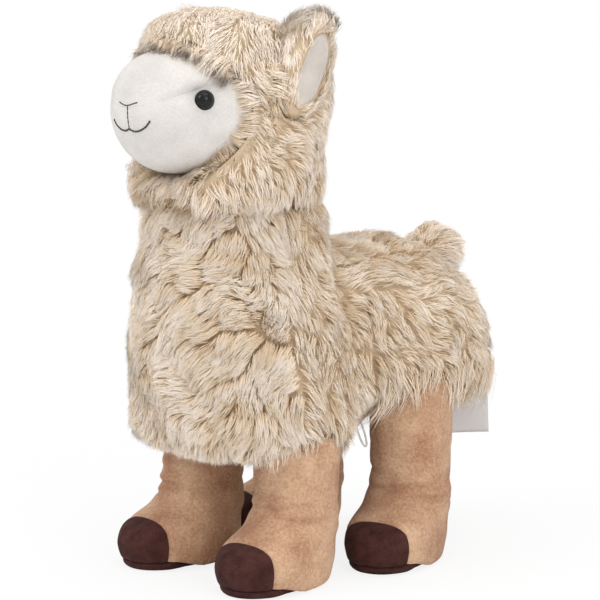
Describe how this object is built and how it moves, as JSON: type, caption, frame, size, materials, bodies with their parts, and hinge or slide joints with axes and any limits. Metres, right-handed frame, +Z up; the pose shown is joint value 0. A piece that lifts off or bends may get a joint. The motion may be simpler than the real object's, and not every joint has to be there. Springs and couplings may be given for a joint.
{
  "type": "plush llama",
  "caption": "Standing plush llama: stuffed body of long cream fur with a short-plush face, cupped lined ears, tan legs with brown toe caps and soles, glossy domed eyes and a short tail tuft.",
  "frame": {"origin": "on the floor, under the middle of the toy's bounding box", "axes": "+Z up; the llama faces -Y; its own left side is +X"},
  "size_m": [0.1404, 0.233, 0.2935],
  "materials": {
    "long_pile_fur": "long curly pile in locks",
    "short_plush_face": "short off-white plush",
    "short_plush_leg": "short tan plush",
    "short_plush_hoof": "short dark brown plush",
    "ear_lining_plush": "short whitish plush",
    "eye_plastic": "polished black",
    "washer_plastic": "moulded natural white",
    "label_satin": "blank woven satin",
    "clear_plastic": "clear drawn thread"
  },
  "bodies": {
    "root": {"body_fur": "long_pile_fur", "head_hood": "long_pile_fur", "muzzle": "short_plush_face", "forehead_panel": "short_plush_face", "tail": "long_pile_fur", "care_label": "label_satin", "tag_loop": "clear_plastic", "ear_left": "long_pile_fur", "ear_lining_left": "ear_lining_plush", "eye_left": "eye_plastic", "eye_washer_left": "washer_plastic", "leg_front_left": "short_plush_leg", "toe_cap_front_left": "short_plush_hoof", "sole_front_left": "short_plush_hoof", "leg_hind_left": "short_plush_leg", "toe_cap_hind_left": "short_plush_hoof", "sole_hind_left": "short_plush_hoof", "ear_right": "long_pile_fur", "ear_lining_right": "ear_lining_plush", "eye_right": "eye_plastic", "eye_washer_right": "washer_plastic", "leg_front_right": "short_plush_leg", "toe_cap_front_right": "short_plush_hoof", "sole_front_right": "short_plush_hoof", "leg_hind_right": "short_plush_leg", "toe_cap_hind_right": "short_plush_hoof", "sole_hind_right": "short_plush_hoof"}
  },
  "joints": []
}
